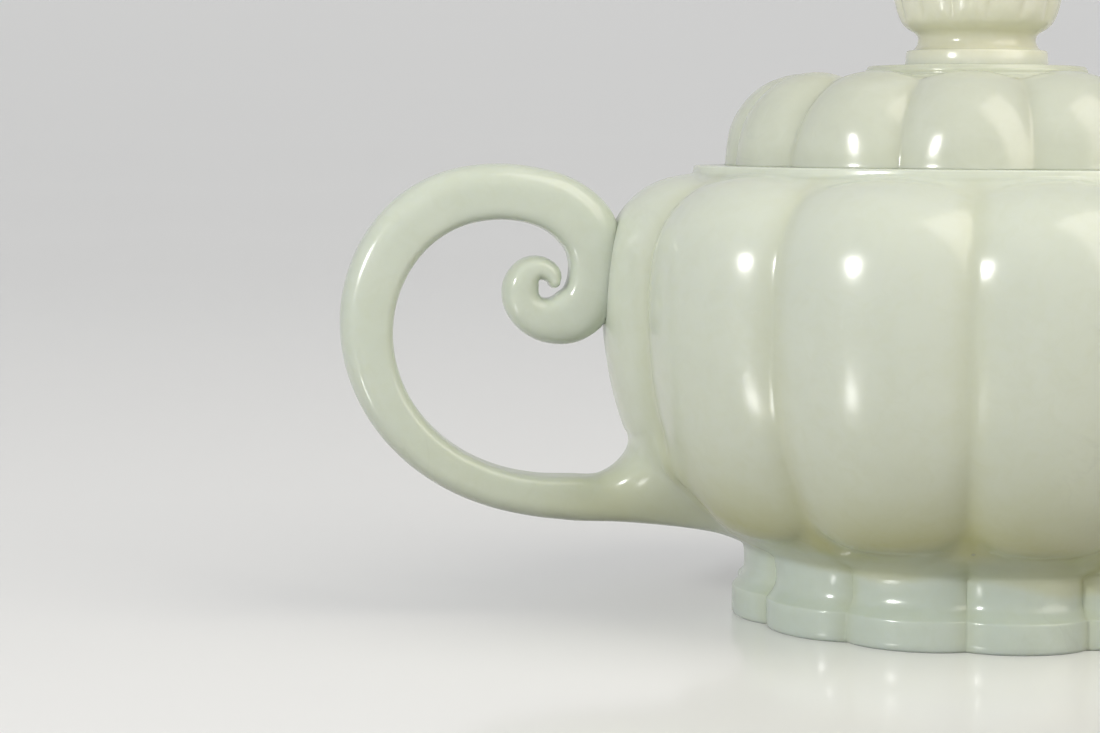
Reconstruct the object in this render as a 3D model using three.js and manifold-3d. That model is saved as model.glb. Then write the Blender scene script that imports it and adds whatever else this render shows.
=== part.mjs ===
// A carved jade teapot: a lobed pot on a lobed foot, with a scroll handle and a curved spout,
// and a lobed lid with a bud finial that lifts straight off.
// Millimetres, +Z up. The origin is the centre of the foot's underside.
// The handle lies along -X and the spout along +X.

import * as THREE from 'three';
import { mergeVertices } from 'three/addons/utils/BufferGeometryUtils.js';
import Module from 'manifold-3d';

const wasm = await Module();
wasm.setup();

// Lobes of the pot, the foot and the lid
const lobeCount = 12;
const stepsPerLobe = 6;
const roundSteps = 48;

// Pot body, measured on the crests of its lobes
const bodyRadius = 55.3;
const bodyGrooveDepth = 3.2;
const widestHeight = 46;
const shoulderHeight = 65;
const shoulderLedge = 0.3;
const undersideHeight = 11;
const undersideRadius = 34;
const undersideGrooveDepth = 2;
const wallThickness = 4.6;
const shoulderFullness = 2.5;
const grooveShoulderFullness = 2.2;
const roundFullness = 2;

// Foot
const footRadius = 35.3;
const footGrooveDepth = 2.2;
const footBandHeight = 4.2;
const waistRadius = 33;
const waistGrooveDepth = 1.7;
const waistHeight = 7.2;
const footEdge = 0.25;
const footRecessDepth = 3;
const footRingWidth = 5.6;

// Mouth collar
const mouthRadius = 33;
const collarWidth = 8.4;
const collarHeight = 1.4;
const collarFlare = 0.5;

// Scroll handle
const handleReach = 38.2;
const handleBase = 15;
const handleRise = 51.7;
const gripThickness = 8.2;
const gripWidth = 8.7;
const gripEdge = 1.2;
const curlEye = 2.2;
const curlOutShare = 0.18;
const curlUpShare = 0.683;
const stepsPerSpan = 2;
const tipSteps = 6;

// Spout
const spoutReach = 38.2;
const spoutBase = 26;
const spoutRise = 43.4;
const spoutRootRadius = 13;
const spoutLipRadius = 5.5;
const spoutRootWall = 3.6;
const spoutLipWall = 1.7;
const spoutTaper = 1.5;
const spoutSteps = 16;
const spoutSides = 16;
const pourHoleRadius = 5;
const pourHoleReach = 12;

// Lid
const lidSeatWidth = 3.9;
const lidGrooveDepth = 2.1;
const lidHeight = 13.3;
const lidGrooveDrop = 0.7;
const lidCrestRing = 24;
const lidGrooveRing = 22;
const lidFullness = 2.2;
const lidWall = 4;
const lidTurn = THREE.MathUtils.degToRad(13);
const tenonWall = 3;
const tenonDepth = 7;

// Finial
const discRadius = 16.2;
const discThickness = 1.1;
const discSeatMargin = 0.8;
const plinthRadius = 10.4;
const plinthThickness = 2.3;
const plinthLedge = 1;
const trimEdge = 0.25;
const budNeckDepth = 0.85;
const budNeckRise = 1.5;
const budRadius = 12.7;
const budBellyRise = 11.4;
const budHeight = 22.6;
const budGrooveDepth = 0.45;
const budPetals = 14;
const budDomeFullness = 1.85;
const stepsPerPetal = 4;
const budTurn = THREE.MathUtils.degToRad(18);

// Gaps between pieces
const jointGap = 0.3;
const seatGap = 0.3;
const tenonClearance = 0.5;
const weldDistance = 0.0001;

// Vertical centreline of the handle's loop, from its root to the start of its curl.
// Columns: share of handleReach outward from the body, share of handleRise up from its
// lowest point, share of gripThickness
const loopShares = [
  [-0.28, 0.114, 1.5],
  [-0.008, 0.058, 0.88],
  [0.207, 0.054, 0.7],
  [0.411, 0.085, 0.67],
  [0.599, 0.153, 0.71],
  [0.751, 0.255, 0.77],
  [0.861, 0.389, 0.85],
  [0.903, 0.54, 0.94],
  [0.866, 0.687, 0.98],
  [0.754, 0.818, 1],
  [0.579, 0.899, 1],
  [0.369, 0.923, 0.99],
  [0.17, 0.88, 1.02],
];

// The rest of that centreline, round the curl to its tip.
// Columns: shares of curlRadius outward and up from the curl's middle, share of gripThickness
const curlShares = [
  [-0.709, 1.042, 1.01],
  [-0.867, 0.271, 0.93],
  [-0.776, -0.369, 0.87],
  [-0.473, -0.845, 0.93],
  [0.006, -1.001, 0.85],
  [0.418, -0.936, 0.74],
  [0.734, -0.681, 0.68],
  [0.831, -0.337, 0.63],
  [0.734, -0.033, 0.59],
  [0.497, 0.156, 0.5],
  [0.261, 0.14, 0.41],
  [0.097, -0.016, 0.33],
];

// Centreline of the spout from inside the body to past its lip.
// Columns: share of spoutReach outward from the body, share of spoutRise up from spoutBase
const spoutShares = [
  [-0.243, 0],
  [0.018, 0.083],
  [0.267, 0.219],
  [0.482, 0.429],
  [0.636, 0.691],
  [0.775, 0.906],
  [0.903, 1.106],
];

// Flare of the bud from its neck to its widest ring.
// Columns: share of the way from budNeckRadius to budRadius, share of budBellyRise
const budShares = [
  [0.04, 0.191],
  [0.17, 0.228],
  [0.35, 0.268],
  [0.56, 0.342],
  [0.69, 0.421],
  [0.8, 0.535],
  [0.92, 0.72],
];

const rimHeight = shoulderHeight + collarHeight;
const rimRadius = mouthRadius + collarWidth;
const shoulderRadius = rimRadius + collarFlare + shoulderLedge;
const curlRadius = gripThickness / 2 + curlEye;
const lidRadius = mouthRadius + lidSeatWidth;
const lidBase = rimHeight + seatGap;
const lidTop = lidBase + lidHeight;
const tenonRadius = mouthRadius - tenonClearance;
const tenonBore = tenonRadius - tenonWall;
const discTop = lidTop + discThickness;
const plinthTop = discTop + plinthThickness;
const budBaseRadius = plinthRadius - plinthLedge;
const budNeckRadius = budBaseRadius - budNeckDepth;

// A profile point of a wall: where its crest and its groove lie
function wallPoint(crestRadius, crestHeight, grooveRadius = crestRadius, grooveHeight = crestHeight) {
  return { crestRadius, crestHeight, grooveRadius, grooveHeight };
}

// Radius of a lobed section at an angle from the crest. The section is a circular arc from
// groove to groove through the crest, and a plain circle where both have one radius.
function lobeRadius(point, angle, halfLobe) {
  const halfChord = point.grooveRadius * Math.sin(halfLobe);
  const bulge = point.crestRadius - point.grooveRadius * Math.cos(halfLobe);
  const arcRadius = (halfChord ** 2 + bulge ** 2) / (2 * bulge);
  const arcCentre = point.crestRadius - arcRadius;
  return arcCentre * Math.cos(angle) + Math.sqrt(arcRadius ** 2 - (arcCentre * Math.sin(angle)) ** 2);
}

// A solid turned about Z from a wall profile, its lobes raised between their grooves.
// The profile starts and ends on the axis, or closes on itself, and grow thickens it outward.
function lobedSolid(wall, lobes, steps, grow = 0) {
  const outline = wall.map((point) => new THREE.Vector2(point.crestRadius, point.crestHeight));
  const geometry = new THREE.LatheGeometry(outline, lobes * steps);
  const position = geometry.attributes.position;
  const halfLobe = Math.PI / lobes;
  for (let index = 0; index < position.count; index += 1) {
    const point = wall[index % wall.length];
    const step = Math.floor(index / wall.length) % (lobes * steps);
    const offCrest = (2 * (step % steps)) / steps - 1;
    const around = (2 * step - steps) * (halfLobe / steps);
    const radius = point.crestRadius > 0 ? lobeRadius(point, offCrest * halfLobe, halfLobe) + grow : 0;
    const height = point.crestHeight + (point.grooveHeight - point.crestHeight) * offCrest ** 2;
    position.setXYZ(index, radius * Math.cos(around), radius * Math.sin(around), height);
  }
  geometry.computeVertexNormals();
  return geometry;
}

// A plain turned solid from [radius, height] pairs
function turnedSolid(outline, steps = roundSteps) {
  return lobedSolid(outline.map(([radius, height]) => wallPoint(radius, height)), steps / 2, 2);
}

// [radius, height] points of a quarter superellipse, from its side to its top or, with a
// negative height, to its bottom
function quarterCurve(centreRadius, centreHeight, width, height, fullness, steps) {
  return Array.from({ length: steps + 1 }, (_, step) => {
    const angle = (step / steps) * (Math.PI / 2);
    const out = step < steps ? Math.cos(angle) ** (2 / fullness) : 0;
    return [centreRadius + width * out, centreHeight + height * Math.sin(angle) ** (2 / fullness)];
  });
}

// Pairs a crest curve with a groove curve of as many points
function pairWalls(crest, groove) {
  return crest.map(([radius, height], index) => wallPoint(radius, height, ...groove[index]));
}

function toSolid(geometry) {
  const bare = geometry.clone();
  bare.deleteAttribute('normal');
  bare.deleteAttribute('uv');
  const welded = mergeVertices(bare, weldDistance);
  const corners = Array.from(welded.index.array);
  const triVerts = [];
  for (let first = 0; first < corners.length; first += 3) {
    const [a, b, c] = corners.slice(first, first + 3);
    if (a !== b && b !== c && c !== a) {
      triVerts.push(a, b, c);
    }
  }
  return new wasm.Manifold(new wasm.Mesh({
    numProp: 3,
    vertProperties: new Float32Array(welded.attributes.position.array),
    triVerts: new Uint32Array(triVerts),
  }));
}

function toGeometry(solid) {
  const mesh = solid.getMesh();
  const geometry = new THREE.BufferGeometry();
  geometry.setAttribute('position', new THREE.BufferAttribute(mesh.vertProperties, 3));
  geometry.setIndex(new THREE.BufferAttribute(mesh.triVerts, 1));
  geometry.computeVertexNormals();
  return geometry;
}

// Outer wall of the pot from its underside up to the collar's seat
function bodyWall() {
  const grooveRadius = bodyRadius - bodyGrooveDepth;
  const grooveUnderside = undersideRadius - undersideGrooveDepth;
  const drop = undersideHeight - widestHeight;
  const rise = shoulderHeight - widestHeight;
  const steps = 7;
  const belly = pairWalls(
    quarterCurve(undersideRadius, widestHeight, bodyRadius - undersideRadius, drop, roundFullness, steps),
    quarterCurve(grooveUnderside, widestHeight, grooveRadius - grooveUnderside, drop, roundFullness, steps),
  );
  const shoulder = pairWalls(
    quarterCurve(shoulderRadius, widestHeight, bodyRadius - shoulderRadius, rise,
      shoulderFullness, steps),
    quarterCurve(shoulderRadius, widestHeight, grooveRadius - shoulderRadius, rise,
      grooveShoulderFullness, steps),
  );
  return [...belly.reverse(), ...shoulder.slice(1)];
}

// The pot's outer shape as one full solid grown by the joint gap, which cuts what is set
// against it
function bodyEnvelope() {
  const wall = bodyWall();
  const bottom = wallPoint(0, undersideHeight);
  const top = wallPoint(0, shoulderHeight);
  return toSolid(lobedSolid([bottom, ...wall, top], lobeCount, stepsPerLobe, jointGap));
}

function spoutCurve() {
  return new THREE.CatmullRomCurve3(spoutShares.map(([out, up]) => new THREE.Vector3(
    bodyRadius + out * spoutReach,
    0,
    spoutBase + up * spoutRise,
  )));
}

// The hollow pot: lobed outside, round inside, pierced behind the spout
function makeBodyShell() {
  const cavityRadius = bodyRadius - bodyGrooveDepth - wallThickness;
  const floorHeight = undersideHeight + wallThickness;
  const floorRadius = undersideRadius - undersideGrooveDepth - wallThickness;
  const ceiling = shoulderHeight - wallThickness;
  const steps = 4;
  const cavity = [
    [mouthRadius, shoulderHeight],
    ...quarterCurve(mouthRadius, widestHeight, cavityRadius - mouthRadius,
      ceiling - widestHeight, roundFullness, steps).reverse(),
    ...quarterCurve(floorRadius, widestHeight, cavityRadius - floorRadius,
      floorHeight - widestHeight, roundFullness, steps).slice(1),
    [0, floorHeight],
  ];
  const shell = lobedSolid([
    wallPoint(0, undersideHeight),
    ...bodyWall(),
    ...cavity.map(([radius, height]) => wallPoint(radius, height)),
  ], lobeCount, stepsPerLobe);

  const root = spoutCurve().getPoint(0);
  const along = spoutCurve().getTangent(0);
  const drill = new THREE.CylinderGeometry(pourHoleRadius, pourHoleRadius, 2 * pourHoleReach, spoutSides);
  drill.applyQuaternion(new THREE.Quaternion().setFromUnitVectors(new THREE.Vector3(0, 1, 0), along));
  drill.translate(root.x, root.y, root.z);
  return toGeometry(toSolid(shell).subtract(toSolid(drill)));
}

// A lobed foot: an upright band, a cove, a waist that meets the pot, and a shallow recess
// underneath
function makeFoot() {
  const bandGroove = footRadius - footGrooveDepth;
  const waistGroove = waistRadius - waistGrooveDepth;
  const drop = footBandHeight - waistHeight;
  const steps = 3;
  const cove = pairWalls(
    quarterCurve(footRadius, waistHeight, waistRadius - footRadius, drop, roundFullness, steps),
    quarterCurve(bandGroove, waistHeight, waistGroove - bandGroove, drop, roundFullness, steps),
  );
  const recessRadius = bandGroove - footRingWidth;
  return lobedSolid([
    wallPoint(0, footRecessDepth),
    wallPoint(recessRadius, footRecessDepth),
    wallPoint(recessRadius, 0),
    wallPoint(footRadius - footEdge, 0, bandGroove - footEdge, 0),
    wallPoint(footRadius, footEdge, bandGroove, footEdge),
    ...cove.reverse(),
    wallPoint(undersideRadius, undersideHeight, undersideRadius - undersideGrooveDepth),
    wallPoint(0, undersideHeight),
  ], lobeCount, stepsPerLobe);
}

// The flat-topped ring round the mouth, which the lid rests on
function makeCollar() {
  return turnedSolid([
    [mouthRadius, shoulderHeight],
    [rimRadius + collarFlare, shoulderHeight],
    [rimRadius, (shoulderHeight + rimHeight) / 2],
    [rimRadius, rimHeight],
    [mouthRadius, rimHeight],
    [mouthRadius, shoulderHeight],
  ]);
}

// The flat outline of the scroll's band, with a round tip. Y carries half its thickness.
function scrollShape() {
  const curlOut = curlOutShare * handleReach;
  const curlUp = curlUpShare * handleRise;
  const points = [
    ...loopShares.map(([out, up, thick]) => [out * handleReach, up * handleRise, thick]),
    ...curlShares.map(([out, up, thick]) => [curlOut + out * curlRadius, curlUp + up * curlRadius, thick]),
  ];
  const centreline = new THREE.CatmullRomCurve3(points.map(([out, up, thick]) => new THREE.Vector3(
    -(bodyRadius + out),
    (thick * gripThickness) / 2,
    handleBase + up,
  )));
  const steps = (points.length - 1) * stepsPerSpan;
  const outer = [];
  const inner = [];
  for (let step = 0; step <= steps; step += 1) {
    const point = centreline.getPoint(step / steps);
    const along = centreline.getTangent(step / steps);
    const across = new THREE.Vector2(along.z, -along.x).setLength(point.y);
    outer.push(new THREE.Vector2(point.x - across.x, point.z - across.y));
    inner.push(new THREE.Vector2(point.x + across.x, point.z + across.y));
  }
  const start = outer[steps];
  const centre = start.clone().add(inner[steps]).divideScalar(2);
  const tip = Array.from({ length: tipSteps - 1 }, (_, step) => (
    start.clone().rotateAround(centre, (-Math.PI * (step + 1)) / tipSteps)
  ));
  return new THREE.Shape([...outer, ...tip, ...inner.reverse()]);
}

// The handle: the scroll with its edges rounded, cut to the pot's side
function makeHandle() {
  const geometry = new THREE.ExtrudeGeometry(scrollShape(), {
    depth: gripWidth - 2 * gripEdge,
    bevelThickness: gripEdge,
    bevelSize: gripEdge,
    bevelOffset: -gripEdge,
    bevelSegments: 2,
  });
  geometry.rotateX(Math.PI / 2);
  geometry.translate(0, gripWidth / 2 - gripEdge, 0);
  return toGeometry(toSolid(geometry).subtract(bodyEnvelope()));
}

// A tapered tube along the spout's curve, cut to the pot's side and level at the lip
function makeSpout() {
  const curve = spoutCurve();
  const taper = (share) => (1 - share) ** spoutTaper;
  const outside = (share) => spoutLipRadius + (spoutRootRadius - spoutLipRadius) * taper(share);
  const wall = (share) => spoutLipWall + (spoutRootWall - spoutLipWall) * taper(share);
  const shares = Array.from({ length: spoutSteps + 1 }, (_, step) => step / spoutSteps);
  const walls = [
    ...shares.map((share) => ({ share, radius: outside(share) })),
    ...shares.reverse().map((share) => ({ share, radius: outside(share) - wall(share) })),
  ];
  walls.push(walls[0]);
  const geometry = turnedSolid(walls.map(({ share, radius }) => [radius, share]), spoutSides);
  const position = geometry.attributes.position;
  const side = new THREE.Vector3(0, 1, 0);
  for (let index = 0; index < position.count; index += 1) {
    const share = Math.min(Math.max(position.getZ(index), 0), 1);
    const up = curve.getTangentAt(share).cross(side);
    const point = curve.getPointAt(share)
      .addScaledVector(up, position.getX(index))
      .addScaledVector(side, -position.getY(index));
    position.setXYZ(index, point.x, point.y, point.z);
  }
  const above = new THREE.BoxGeometry(spoutReach, spoutReach, spoutReach);
  above.translate(bodyRadius + spoutReach, 0, spoutBase + spoutRise + spoutReach / 2);
  return toGeometry(toSolid(geometry).subtract(toSolid(above)).subtract(bodyEnvelope()));
}

// The lobed dome of the lid, hollow underneath and flat on top for the finial's disc
function makeLidDome() {
  const grooveRadius = lidRadius - lidGrooveDepth;
  const seatRadius = discRadius + discSeatMargin;
  const hollowHeight = lidHeight - lidWall;
  const outerSteps = 7;
  const innerSteps = 4;
  const dome = pairWalls(
    quarterCurve(lidCrestRing, lidBase, lidRadius - lidCrestRing, lidHeight, lidFullness, outerSteps),
    quarterCurve(lidGrooveRing, lidBase, grooveRadius - lidGrooveRing, lidHeight - lidGrooveDrop,
      lidFullness, outerSteps),
  );
  const hollow = quarterCurve(seatRadius, lidBase, tenonBore - seatRadius, hollowHeight,
    roundFullness, innerSteps).reverse();
  return lobedSolid([
    wallPoint(0, lidBase + hollowHeight),
    ...hollow.map(([radius, height]) => wallPoint(radius, height)),
    ...dome,
    wallPoint(seatRadius, lidTop),
    wallPoint(0, lidTop),
  ], lobeCount, stepsPerLobe);
}

// The ring under the lid that drops into the mouth
function makeLidTenon() {
  const tenonFoot = lidBase - tenonDepth;
  return turnedSolid([
    [tenonBore, tenonFoot],
    [tenonRadius, tenonFoot],
    [tenonRadius, lidBase],
    [tenonBore, lidBase],
    [tenonBore, tenonFoot],
  ]);
}

// A disc with both outer edges broken
function makeDisc(radius, base, thickness) {
  const top = base + thickness;
  return turnedSolid([
    [0, base],
    [radius - trimEdge, base],
    [radius, base + trimEdge],
    [radius, top - trimEdge],
    [radius - trimEdge, top],
    [0, top],
  ]);
}

// The closed bud on its waisted neck, faintly fluted into petals
function makeBud() {
  const grooveShare = 1 - budGrooveDepth / budRadius;
  const domeSteps = 5;
  const flare = budShares.map(([out, up]) => (
    [budNeckRadius + out * (budRadius - budNeckRadius), plinthTop + up * budBellyRise]
  ));
  const dome = quarterCurve(0, plinthTop + budBellyRise, budRadius, budHeight - budBellyRise,
    budDomeFullness, domeSteps);
  const fluted = [...flare, ...dome].map(([radius, height]) => (
    wallPoint(radius, height, radius * grooveShare)
  ));
  return lobedSolid([
    wallPoint(0, plinthTop),
    wallPoint(budBaseRadius, plinthTop),
    wallPoint(budNeckRadius, plinthTop + budNeckRise),
    ...fluted,
  ], budPetals, stepsPerPetal);
}

function addPiece(group, name, geometry, color, roughness) {
  const material = new THREE.MeshStandardMaterial({ color, roughness, metalness: 0 });
  const mesh = new THREE.Mesh(geometry, material);
  mesh.name = name;
  group.add(mesh);
  return mesh;
}

const pot = new THREE.Group();
addPiece(pot, 'body_shell', makeBodyShell(), '#ced5c5', 0.16);
addPiece(pot, 'foot_ring', makeFoot(), '#bac6bc', 0.2);
addPiece(pot, 'mouth_collar', makeCollar(), '#d3d6c2', 0.16);
addPiece(pot, 'scroll_handle', makeHandle(), '#c8d1c0', 0.16);
addPiece(pot, 'spout', makeSpout(), '#ccd4c2', 0.16);

const lid = new THREE.Group();
addPiece(lid, 'lid_dome', makeLidDome(), '#d0d5c3', 0.16).rotation.z = lidTurn;
addPiece(lid, 'lid_tenon', makeLidTenon(), '#c6ccb8', 0.3);
addPiece(lid, 'finial_disc', makeDisc(discRadius, lidTop, discThickness), '#d4d8c4', 0.16);
addPiece(lid, 'finial_plinth', makeDisc(plinthRadius, discTop, plinthThickness), '#d8dac4', 0.16);
addPiece(lid, 'finial_bud', makeBud(), '#dadbc0', 0.16).rotation.z = budTurn;

const teapot = new THREE.Group();
teapot.add(pot, lid);

export default teapot;
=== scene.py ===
import math

import bpy
import numpy as np
from mathutils import Matrix, Vector


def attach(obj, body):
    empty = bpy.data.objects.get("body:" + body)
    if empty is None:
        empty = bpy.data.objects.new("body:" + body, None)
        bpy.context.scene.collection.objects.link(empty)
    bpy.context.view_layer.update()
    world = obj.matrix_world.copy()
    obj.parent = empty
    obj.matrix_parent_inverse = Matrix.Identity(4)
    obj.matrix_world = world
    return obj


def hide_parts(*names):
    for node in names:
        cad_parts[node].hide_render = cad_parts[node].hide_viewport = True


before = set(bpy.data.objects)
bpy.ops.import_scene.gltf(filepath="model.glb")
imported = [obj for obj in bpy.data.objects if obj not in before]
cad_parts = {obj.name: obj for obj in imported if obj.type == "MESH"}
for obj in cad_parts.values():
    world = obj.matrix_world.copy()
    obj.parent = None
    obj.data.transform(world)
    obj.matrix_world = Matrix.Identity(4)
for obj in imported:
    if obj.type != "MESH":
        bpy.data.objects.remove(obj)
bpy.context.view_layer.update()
print("frame loaded")

mm = 0.001

# Lobes go all round the pot and the lid; the groove between two lobes is a fine V
lobes = {
    "count": 12,
    "columns": 24,  # columns of the mesh across one lobe
    "grooveCrowding": 0.7,  # how far the columns crowd towards the grooves
    "rowCrowding": 0.6,  # how far the rows crowd towards the lobes' ends
    "roundness": 2.15,  # 2 is a parabola across a lobe, more is fuller
    "tipPower": 0.8,  # how a lobe rises at its tip: 1 is a parabola, less is steeper
    "grooveShadeReach": 0.16,  # how far a groove's painted shade reaches over the lobe, in half lobes
}


# A smooth curve through points, read at shares of its own length: Catmull-Rom between the
# points, in fine steps from one to the next and with a mirrored point added at each end, then
# resampled by distance
def smoothCurve(points, shares, fine=40):
    points = np.asarray(points, float)
    padded = np.vstack([2 * points[0] - points[1], points, 2 * points[-1] - points[-2]])
    t = np.linspace(0, 1, fine, endpoint=False)[None, :, None]
    a, b, c, d = (padded[k:k + len(points) - 1][:, None, :] for k in range(4))
    curve = 0.5 * (2 * b + (c - a) * t + (2 * a - 5 * b + 4 * c - d) * t ** 2
                   + (3 * b - a - 3 * c + d) * t ** 3)
    curve = np.vstack([curve.reshape(-1, points.shape[1]), points[-1]])
    run = np.concatenate([[0], np.cumsum(np.linalg.norm(np.diff(curve, axis=0), axis=1))])
    wanted = np.asarray(shares) * run[-1]
    return np.stack([np.interp(wanted, run, curve[:, k]) for k in range(points.shape[1])], -1)


# Reads a smooth curve at an array of shares of its length
def curveAt(points, share, fine=600):
    shares = np.linspace(0, 1, fine)
    table = smoothCurve(points, shares)
    return np.stack([np.interp(share, shares, table[:, k]) for k in range(2)], -1)


# Two smooth curves end to end, the first of them up to the share called split
def splitCurve(first, second, split, share):
    return np.where((share < split)[..., None], curveAt(first, share / split),
                    curveAt(second, ((share - split) / (1 - split)).clip(0, 1)))


# A value from 0 to 1, eased at both ends: 3 v squared less 2 v cubed
def smoothStep(value):
    value = np.clip(value, 0, 1)
    return value * value * (3 - 2 * value)


# Angle of each column round the pot, and where it lies across its own lobe: -1 and 1 are
# the grooves, 0 the crest
def lobeColumns(count, columns, crowding, turn=0.0):
    step = np.arange(columns) * 2 / columns - 1
    across = (1 - crowding) * step + crowding * np.sin(step * math.pi / 2)
    centre = np.arange(count)[:, None] * 2 * math.pi / count
    angle = centre + across[None, :] * math.pi / count + turn
    return angle.ravel(), np.tile(across, count)


# Height across a lobe: 1 on the crest, 0 in the groove, falling as a power of the distance
def lobeRise(across, roundness=lobes["roundness"]):
    return 1 - np.abs(across).clip(0, 1) ** roundness


# Outline of a lobe's end: how far the end steps back from its foremost point, from 0 on the
# flat middle to 1 at the groove; and the other way, the half width at a distance
def endOutline(across, flat, power):
    return ((np.abs(across) - flat) / (1 - flat)).clip(0, 1) ** power


def endWidth(distance, flat, power):
    return flat + (1 - flat) * distance.clip(0, 1) ** (1 / power)


# Rows for a wall of round-ended lobes: (row, column, 2) radius and height, down the wall.
# crest and core give points at a share of the way down. The core is the ground between the
# lobes' round ends, and the lobes stand on it out to the crest. Rows follow the outlines of
# the lobes, so their creases lie on mesh edges. An end is (start, length, flat, power, tip),
# tip being the length over which the lobe rises from the ground at that end. filled gives,
# from the ground's heights, how far the grooves are filled.
def lobedWall(crest, core, across, topEnd, footEnd, rows, filled=None):
    top = topEnd[0] + topEnd[1] * endOutline(across, topEnd[2], topEnd[3])
    foot = 1 - footEnd[0] - footEnd[1] * endOutline(across, footEnd[2], footEnd[3])
    even = np.linspace(0, 1, rows[1])
    crowded = (1 - np.cos(even * math.pi)) / 2 * lobes["rowCrowding"] + even * (1 - lobes["rowCrowding"])
    share = np.vstack([np.linspace(0, 1, rows[0], endpoint=False)[:, None] * top,
                       top + crowded[:, None] * (foot - top),
                       foot + np.linspace(0, 1, rows[2] + 1)[1:, None] * (1 - foot)])
    ends = ((share - topEnd[0], topEnd), (1 - footEnd[0] - share, footEnd))
    width = np.minimum(*[endWidth(away / end[1], end[2], end[3]) if end[1] else 1.0 for away, end in ends])
    rise = lobeRise(across / width)
    for away, end in ends:
        if end[4]:
            rise = rise * (1 - (1 - (away / end[4]).clip(0, 1)) ** 2) ** lobes["tipPower"]
    rise = np.where((share >= top - 1e-9) & (share <= foot + 1e-9), rise, 0.0)
    base = core(share)
    if filled:
        rise = rise + (1 - rise) * filled(base[..., 1])
    return base + (crest(share) - base) * rise[..., None]


# Rows of plain rings, from their radius and height
def roundRows(rows, across):
    return np.repeat(np.asarray(rows)[:, None, :], len(across), axis=1)


# Rows of lobed rings, from their radius on the crests, radius in the grooves and height
def lobedRows(rows, across, roundness):
    rows = np.asarray(rows)
    radius = rows[:, 1:2] + (rows[:, 0:1] - rows[:, 1:2]) * lobeRise(across, roundness)
    return np.stack([radius, np.broadcast_to(rows[:, 2:3], radius.shape)], -1)


# Turns rows of radius and height into points
def turnRows(rows, angle):
    radius, height = rows[..., 0], rows[..., 1]
    return np.stack([radius * np.cos(angle), radius * np.sin(angle), height], -1)


# A closed grid of points, its rows running round the axis, closed by a pole at each end, to
# which tubes are joined at windows. extra and faces hold the tubes' points and faces, and
# roots the (centre, reach, strength) of the tone that a tube spreads over the wall.
class Skin:
    def __init__(self, points, startPole, endPole, across, grooveRows):
        self.rowCount, self.columnCount = points.shape[:2]
        self.grid = points.copy()
        self.poles = [startPole, endPole]
        self.across = across
        self.grooveRows = grooveRows
        self.extra = []
        self.extraGrip = []
        self.roots = []
        self.faces = []
        self.kept = np.ones((self.rowCount - 1, self.columnCount), bool)
        self.extraCount = self.rowCount * self.columnCount + 2

    # Vertices at rows and columns of the grid, the columns going round and round
    def index(self, row, column):
        return row * self.columnCount + np.asarray(column) % self.columnCount

    # Adds points of one grip beside the grid's, and gives their vertices
    def addPoints(self, points, grip=0.0):
        first = self.extraCount
        self.extra.append(points)
        self.extraGrip.append(np.full(len(points), grip))
        self.extraCount += len(points)
        return np.arange(first, first + len(points))

    # Cuts a window out of the grid and gives its edge, anticlockwise as seen from outside:
    # the vertices, their points and their normals
    def cutWindow(self, rows, columns):
        (low, high), (left, right) = rows, columns
        self.kept[low:high, np.arange(left, right) % self.columnCount] = False
        edge = ([(low, c) for c in range(left, right)] + [(r, right) for r in range(low, high)]
                + [(high, c) for c in range(right, left, -1)] + [(r, left) for r in range(high, low, -1)])
        row, column = np.array(edge).T
        column %= self.columnCount
        return self.index(row, column), self.grid[row, column], self.normals()[row, column]

    # Directions square to the grid, from its steps around and along
    def normals(self):
        around = np.roll(self.grid, -1, 1) - np.roll(self.grid, 1, 1)
        along = np.gradient(self.grid, axis=0)
        normal = np.cross(around, along)
        return normal / np.maximum(np.linalg.norm(normal, axis=-1, keepdims=True), 1e-12)

    # Joins one ring of vertices to the next
    def joinRings(self, first, second):
        self.faces.append(np.stack([first, np.roll(first, -1), np.roll(second, -1), second], -1))

    # Carries a tube on from a ring of vertices through rings of points, and gives its last ring
    def carryOn(self, ring, rings, grips):
        for points, grip in zip(rings, grips):
            following = self.addPoints(points, grip)
            self.joinRings(ring, following)
            ring = following
        return ring

    # How near each point is to a groove, the mask of the grooves' painted shade: 1 in it, fading across the
    # lobe
    def grooves(self):
        near = np.zeros(self.extraCount, np.float32)
        near[:self.rowCount * self.columnCount] = (self.grooveRows[:, None] * np.exp(
            -((1 - np.abs(self.across)) / lobes["grooveShadeReach"]) ** 2)).ravel()
        return near

    # How much each point belongs to the handle or the spout: 1 on them, fading out over the
    # wall round their roots
    def grips(self):
        grip = np.concatenate([np.zeros(self.rowCount * self.columnCount + 2), *self.extraGrip])
        for centre, reach, strength in self.roots:
            away = np.linalg.norm(self.allPoints() - centre, axis=1)
            grip = np.maximum(grip, strength * smoothStep(2 - away / reach))
        return grip.astype(np.float32)

    # The points of grid, poles and tubes, in the order of their vertices
    def allPoints(self):
        return np.vstack([self.grid.reshape(-1, 3), np.array(self.poles), *self.extra])

    # The grid's squares outside its windows, a fan round each pole, and the tubes' faces
    def allFaces(self):
        row, column = np.nonzero(self.kept)
        quads = np.stack([self.index(row, column), self.index(row, column + 1),
                          self.index(row + 1, column + 1), self.index(row + 1, column)], -1)
        start = self.rowCount * self.columnCount
        around = np.arange(self.columnCount)
        last = self.rowCount - 1
        fans = [np.stack([self.index(0, around + 1), self.index(0, around), np.full_like(around, start)], -1),
                np.stack([self.index(last, around), self.index(last, around + 1),
                          np.full_like(around, start + 1)], -1)]
        return [quads, *fans, *self.faces]


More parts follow.
